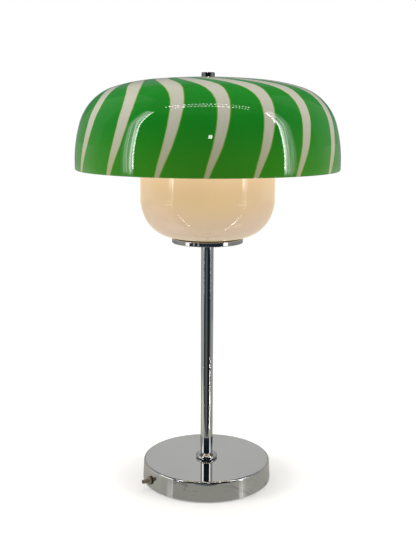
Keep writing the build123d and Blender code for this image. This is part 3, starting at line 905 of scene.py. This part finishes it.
haunch_end = arc_chain((shade_radius, shade_rim + lip), math.pi / 2, shade_arcs)[-1]
crown_lean = math.radians(side_arc[1] + shoulder_arc[1] + haunch_arc[1])
crown_radius = haunch_end[0] / math.cos(crown_lean)


def shade_face(inside):
    """One face of the shade from above the lip to the hole, that far inside the outer face."""
    arcs = [(radius - inside, turned) for radius, turned in shade_arcs]
    crown = crown_radius - inside
    arcs.append((crown, math.degrees(math.acos(hole_radius / crown) - crown_lean)))
    return arc_chain((shade_radius - inside, shade_rim + lip), math.pi / 2, arcs)


def lengths(points):
    """How far along the line each of its points lies."""
    run = [0.0]
    for (x, z), (u, w) in zip(points, points[1:]):
        run.append(run[-1] + math.hypot(u - x, w - z))
    return run


outer, inner = shade_face(0.0), shade_face(glass_wall)
outer_run, inner_run = lengths(outer), lengths(inner)
stretch = outer_run[-1] / inner_run[-1]
rim = rounded((shade_radius - glass_wall, shade_rim), lip_round, (0, -1), (1, 0))
rim += rounded((shade_radius, shade_rim), lip_round, (1, 0), (0, 1))
section = rim + outer + inner[::-1]
along = [max(0.0, z - shade_rim) for x, z in rim]
along += [lip + run for run in outer_run]
along += [lip + run * stretch for run in inner_run[::-1]]
print("length of the section from rim to hole in mm:", round(1000 * (lip + outer_run[-1]), 1))

# %% [markdown]
# ## The canes
#
# The off-white stripes are canes of white glass laid on the hot green bubble, then twisted. They
# start 19 to 22 degrees apart and narrow at the rim, lean one way up the side, widen and swing back
# over the shoulder. The twist's centre lies a little behind the shade's own. A stripe texture can't
# follow that, so the canes are written down as they lie in the glass: where each starts, how broad
# it is beside the others, and how twist, width and centre change along the section.

# %% Canes
cane_starts = [-64.0, -42.4, -19.6, -0.6, 18.3, 37.3, 58.8, 79.5, 99.0, 118.5, 138.0]
cane_starts += [158.0, 178.0, 197.5, 217.0, 236.5, 256.5, 276.0]
cane_breadth = [1.15, 1.1, 1.0, 0.97, 0.98, 1.05, 1.25, 1.0, 1.1, 0.95, 1.05]
cane_breadth += [1.0, 1.1, 0.95, 1.0, 1.1, 1.0, 1.05]
twist = [(0, 0), (12, 1.6), (20, 2.8), (30, 4.2), (40, 5.2), (50, 6.1), (60, 6.7), (70, 7.0)]
twist += [(80, 6.7), (90, 5.6), (100, 3.7), (110, 0.8), (120, -3), (135, -11), (150, -19)]
twist += [(165, -28), (185, -42), (216, -66)]
width = [(0, 1.9), (6, 2.2), (12, 2.7), (20, 3.2), (30, 3.8), (50, 4.6), (70, 5.4), (80, 5.9)]
width += [(90, 6.8), (100, 8.4), (110, 10.0), (120, 10.8), (150, 11.6), (216, 12.5)]
offset = [(0, 0), (50, 1.5), (70, 3.5), (90, 8), (113, 14), (135, 17), (160, 14), (190, 5), (216, 0)]


def read_off(rows, length):
    """Read a list of (mm along the section, value) with straight lines between its rows."""
    length *= 1000
    for (low, first), (high, last) in zip(rows, rows[1:]):
        if length <= high:
            share = max(0.0, (length - low) / (high - low))
            return first + (last - first) * share
    return rows[-1][1]


print("canes:", len(cane_starts))

# %% [markdown]
# ## The canes in the glass
#
# A material can't read those lists, but it can read a value stored in the mesh. So each point of
# the shade gets its distance from the nearest cane's edge, and the glass is coloured by that. The
# edges stay sharp because the mesh has a point every degree and every two millimetres.


# %% Shade glass
def cane_edge(x, y, length):
    """Distance in mm from the nearest cane's edge; below zero inside the cane."""
    centre = read_off(offset, length) / 1000
    angle = math.degrees(math.atan2(x, -(y - centre))) - read_off(twist, length)
    half = read_off(width, length) / 2
    reach = math.hypot(x, y) * 1000
    nearest = math.inf
    for start, breadth in zip(cane_starts, cane_breadth):
        gap = abs((angle - start + 180) % 360 - 180)
        nearest = min(nearest, math.radians(gap - half * breadth) * reach)
    return nearest


shade = spin("shade_glass", section, along, 360, len(rim) + len(outer))
edges = shade.data.attributes.new("cane_edge", "FLOAT", "POINT")
runs = [item.value for item in shade.data.attributes["along"].data]
values = [cane_edge(v.co.x, v.co.y, run) for v, run in zip(shade.data.vertices, runs)]
edges.data.foreach_set("value", values)
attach(shade, "shade")
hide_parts("glass_shade")
print("points in the shade:", len(values), "in a cane:", sum(value < 0 for value in values))

# %% [markdown]
# ## Green glass
#
# Green glass over a pale lining is too dense to look through, but the bulb behind it makes it glow
# a little. So the finish is a glossy Principled surface whose colour follows the canes, with a
# faint light of its own. Where a cane's edge melts into the green, a thin line turns yellowish, and
# slow noise gives the streaks of hand-worked glass. Towards the rim the green turns warmer, which is
# a painted glow of the bulb's light. The canes there turn darker and warmer, which is painted shade
# where less light falls on them.

# %% Green glass
glow_and_shade_band = (0.372, 0.43)

green_glass, tree, shader = finish("green_glass", roughness=0.03, ior=1.5)
edge = wire(tree, "Attribute", attribute_name="cane_edge").outputs["Fac"]
where, height = place_and_height(tree)
streaks = noise(tree, where, 18.0, 4.0, 0.6)
green = mix_colours(tree, streaks, (0.006, 0.165, 0.009, 1.0), (0.014, 0.225, 0.018, 1.0))
# Painted light: towards the rim the green gets a painted warm glow and the canes get painted shade.
near_rim = between(tree, height, *glow_and_shade_band, 1.0, 0.0)
green = mix_colours(tree, near_rim, green, (0.036, 0.215, 0.012, 1.0))
white = mix_colours(tree, streaks, (0.443, 0.428, 0.342, 1.0), (0.496, 0.482, 0.392, 1.0))
white = mix_colours(tree, between(tree, height, *glow_and_shade_band), (0.385, 0.380, 0.228, 1.0), white)
melted = mix_colours(tree, between(tree, edge, 0.1, 1.1), (0.16, 0.30, 0.03, 1.0), green)
colour = mix_colours(tree, between(tree, edge, -0.8, 0.25), white, melted)
glow = {"Emission Color": colour, "Emission Strength": 0.12}
fill(tree, shader, {"Base Color": colour, **glow})
canes_proud = between(tree, edge, -2.5, 1.0, 0.35, 0.0)
relief = work_out(tree, "ADD", noise(tree, where, 9.0, 2.0), canes_proud)
emboss(tree, shader, relief, 0.12, 0.0008)
shade.data.materials.append(green_glass)
print("green glass on", shade.name)

# %% [markdown]
# ## The opal lining
#
# The inside of the shade is a casing of white opal. It glows warmly, most of all near the crown,
# and lights the bowl and the bulb from above. A lamp in the bulb's place could do that too, but it
# burns the bulb and the bracket out to plain white, so the lining glows by itself.

# %% Opal lining
lining, tree, shader = finish("opal_lining", roughness=0.25)
where, height = place_and_height(tree)
clouds = noise(tree, where, 12.0, 3.0)
milk = mix_colours(tree, clouds, (0.70, 0.69, 0.64, 1.0), (0.78, 0.77, 0.72, 1.0))
upwards = between(tree, height, 0.37, 0.46, 0.26, 0.60)
uneven = between(tree, clouds, 0.3, 0.7, 0.0, 0.04)
strength = work_out(tree, "ADD", upwards, uneven)
glow = {"Emission Color": (1.0, 0.78, 0.50, 1.0), "Emission Strength": strength}
fill(tree, shader, {"Base Color": milk, **glow})
shade.data.materials.append(lining)
print("finishes on", shade.name + ":", len(shade.data.materials))

# %% [markdown]
# ## The bowl's form
#
# The bowl is opal glass, 154 mm across, with a flat foot and two arcs up its side. It stands open
# at the top inside the shade. It is spun as the shade is, with an even wall of 3 mm and a rim that
# is rounded on both sides.

# %% Bowl
bowl_radius = 0.07735
bowl_wall = 0.003
bowl_floor = 0.2940
bowl_top = 0.4020
rim_round = 0.00135
foot_radius = 0.0055
base_arc = (0.0402, 68.8)
belly_arc = (0.0615, 21.2)
belly_turn = math.radians(belly_arc[1])
belly_rise = belly_arc[0] * (1 - math.cos(belly_turn))
flat_radius = bowl_radius - belly_rise - base_arc[0] * math.cos(belly_turn)


def bowl_face(inside):
    """One face of the bowl from its foot to under its rim."""
    arcs = [(radius - inside, turned) for radius, turned in (base_arc, belly_arc)]
    line = [(foot_radius, bowl_floor + inside)]
    line += arc_chain((flat_radius, bowl_floor + inside), 0.0, arcs)
    return line


top = rounded((bowl_radius, bowl_top), rim_round, (0, 1), (-1, 0))
top += rounded((bowl_radius - bowl_wall, bowl_top), rim_round, (-1, 0), (0, -1))
section = bowl_face(0.0) + top + bowl_face(bowl_wall)[::-1]
bowl = spin("bowl_glass", section, [z - bowl_floor for x, z in section], 240)
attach(bowl, "lamp_frame")
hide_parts("opal_bowl")
print("bowl height in mm:", round(1000 * (bowl_top - bowl_floor), 1))

# %% [markdown]
# ## Opal glass
#
# Opal scatters the blue part of light and lets the warm part through, so the bowl is creamy where
# the bulb shines through it and pinkish where daylight meets it at the sides. Subsurface scattering
# could do that but is slow and noisy for a lit lamp. Here the glass has a faint blue colour for
# daylight and a warm glow of its own, which is strongest near the shade and weakest at the foot.

# %% Opal glass
opal_glass, tree, shader = finish("opal_glass", roughness=0.03, ior=1.5, coat_weight=0.15)
where, height = place_and_height(tree)
clouds = noise(tree, where, 14.0, 3.0)
milk = mix_colours(tree, clouds, (0.09, 0.082, 0.200, 1.0), (0.11, 0.098, 0.232, 1.0))
foot_glow, side_glow = (0.68, 0.515, 0.250, 1.0), (0.80, 0.563, 0.172, 1.0)
top_glow = (1.00, 0.69, 0.275, 1.0)
warm = mix_colours(tree, between(tree, height, 0.296, 0.345), foot_glow, side_glow)
warm = mix_colours(tree, between(tree, height, 0.345, 0.378), warm, top_glow)
strength = between(tree, clouds, 0.3, 0.7, 0.757, 0.793)
glow = {"Emission Color": warm, "Emission Strength": strength}
fill(tree, shader, {"Base Color": milk, **glow})
emboss(tree, shader, noise(tree, where, 7.0, 1.0), 0.06, 0.001)
bowl.data.materials.append(opal_glass)
print("opal glass on", bowl.name)

# %% [markdown]
# ## The parts inside
#
# These rarely show, but some are seen from below, and all of them once the lamp is taken apart. One
# helper gives each a matter of its own: two shades of its colour mixed by noise, a roughness that
# wanders, and a grain that suits it, from felt fibres to zinc and glazed ceramic. Flat colours
# would be quicker, but a plain grey looks like no metal at all up close.


# %% Plain matters
def matter(name, dark, pale, scale, roughness, grain, depth, **sockets):
    """A finish with mottled colour, uneven roughness and a fine grain."""
    material, tree, shader = finish(name, **sockets)
    where = wire(tree, "TexCoord").outputs["Object"]
    mottle = noise(tree, where, scale, 5.0)
    colour = mix_colours(tree, mottle, (*dark, 1.0), (*pale, 1.0))
    uneven = between(tree, mottle, 0.3, 0.7, *roughness)
    fill(tree, shader, {"Base Color": colour, "Roughness": uneven})
    emboss(tree, shader, noise(tree, where, grain, 3.0), 0.5, depth)
    return material


# dark and pale shade, scale of the mottling, roughness, scale and depth of the grain
looks = {
    "felt": ((0.010, 0.010, 0.011), (0.030, 0.030, 0.032), 900, (0.9, 1.0), 2600, 0.0004),
    "zinc": ((0.42, 0.43, 0.44), (0.62, 0.63, 0.64), 140, (0.24, 0.42), 900, 0.00003),
    "iron": ((0.030, 0.028, 0.027), (0.075, 0.070, 0.066), 120, (0.55, 0.8), 500, 0.0004),
    "silicone": ((0.62, 0.61, 0.58), (0.74, 0.73, 0.70), 160, (0.38, 0.5), 1200, 0.00003),
    "nylon": ((0.60, 0.58, 0.52), (0.72, 0.70, 0.64), 90, (0.32, 0.45), 800, 0.00004),
    "dark_rubber": ((0.020, 0.009, 0.005), (0.040, 0.020, 0.011), 160, (0.4, 0.6), 1200, 0.00004),
    "phenolic": ((0.76, 0.75, 0.71), (0.84, 0.83, 0.80), 70, (0.16, 0.3), 600, 0.00002),
    "steatite": ((0.72, 0.69, 0.62), (0.82, 0.80, 0.74), 110, (0.25, 0.5), 900, 0.00004),
    "brass": ((0.55, 0.38, 0.14), (0.72, 0.52, 0.22), 150, (0.2, 0.36), 700, 0.00003),
    "nickel": ((0.50, 0.48, 0.44), (0.66, 0.64, 0.60), 160, (0.14, 0.28), 700, 0.00002),
    "lead_cover": ((0.50, 0.49, 0.47), (0.60, 0.59, 0.57), 200, (0.35, 0.5), 1500, 0.00003),
    "gland_grey": ((0.15, 0.125, 0.09), (0.25, 0.215, 0.16), 260, (0.28, 0.4), 1500, 0.00003),
    "bulb_opal": ((0.74, 0.72, 0.68), (0.80, 0.78, 0.74), 60, (0.22, 0.3), 1200, 0.00001),
}
metals = {"zinc": 1.0, "iron": 0.6, "brass": 1.0, "nickel": 1.0}
matters = {}
for name, look in looks.items():
    matters[name] = matter(name, *look, metallic=metals.get(name, 0.0))
print("plain matters:", len(matters))

# %% [markdown]
# ## Who wears what
#
# Each part inside gets the matter that such a part is usually made of: zinc plated steel for plates,
# nuts and the bracket, iron for the weight, moulded plastics and ceramic for the lampholder.

# %% Coat the parts
plated = ["base_plate", "base_plate_screws", "rod_foot_nut", "rod_foot_washer", "clamp_washer"]
plated += ["clamp_nut", "harp_frame", "shade_rest", "lock_nut"]
wearers = {
    "felt": ["felt_pad"],
    "zinc": plated,
    "iron": ["base_weight"],
    "dark_rubber": ["bowl_seal"],
    "silicone": ["bowl_pad", "rest_seal"],
    "nylon": ["gland_nut", "terminal_block", "stem_bushes", "finial_washer"],
    "phenolic": ["holder_cap", "holder_skirt"],
    "steatite": ["holder_core"],
    "brass": ["terminal_screws", "contact_tongue"],
    "nickel": ["bulb_contact"],
    "lead_cover": ["inner_lead"],
    "gland_grey": ["cord_gland"],
    "bulb_opal": ["bulb_glass"],
}
for name, parts in wearers.items():
    coat_part(matters[name], *parts)
print("parts coated:", sum(len(parts) for parts in wearers.values()))

# %% [markdown]
# ## Threads
#
# The rod, the shade's screw, the bulb's cap and the sleeve that it turns in are threaded. The
# meshes are plain cylinders, and a modelled thread would be heavy for parts that rarely show. A
# bump that climbs one pitch per turn looks the same and leaves the CAD meshes as they are.


# %% Threads
def threaded(material, pitch, depth):
    """Cut a thread into a finish: a bump that climbs by one pitch in each turn about the axis."""
    tree = material.node_tree
    shader = tree.nodes["Principled BSDF"]
    grain = shader.inputs["Normal"].links[0].from_socket
    turn, split = sideways(tree)
    climb = work_out(tree, "DIVIDE", split.outputs["Z"], pitch)
    climb = work_out(tree, "ADD", climb, work_out(tree, "DIVIDE", turn, 360.0))
    wave = work_out(tree, "SINE", work_out(tree, "MULTIPLY", climb, 2 * math.pi))
    sockets = {"Height": wave, "Strength": 1.0, "Distance": depth, "Normal": grain}
    fill(tree, shader, {"Normal": wire(tree, "Bump", sockets).outputs[0]})
    return material


# look, pitch, depth and parts
threads = {
    "cap_metal": ("nickel", 0.0036, 0.0006, ["bulb_cap"]),
    "sleeve_brass": ("brass", 0.0036, 0.0006, ["thread_sleeve"]),
    "screw_zinc": ("zinc", 0.0010, 0.0003, ["threaded_rod", "shade_screw"]),
}
for name, (look, pitch, depth, parts) in threads.items():
    material = matter(name, *looks[look], metallic=metals[look])
    coat_part(threaded(material, pitch, depth), *parts)
print("threaded matters:", len(threads))

# %% [markdown]
# ## The bulb's glow
#
# The bulb is lit, so its opal glass gets a warm light. It stays below white, because then its round
# form can still be seen when the shade is lifted off.

# %% Bulb glow
bulb_light = 0.55

tree = matters["bulb_opal"].node_tree
glow = {"Emission Color": (1.0, 0.80, 0.55, 1.0), "Emission Strength": bulb_light}
fill(tree, tree.nodes["Principled BSDF"], glow)
print("bulb glow:", bulb_light)

# %% [markdown]
# ## Sizes
#
# The dressed lamp has to stay within the CAD part's box. The box round the dressed lamp, without
# the studio, is worked out.

# %% Box of the dressed lamp
low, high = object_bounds()
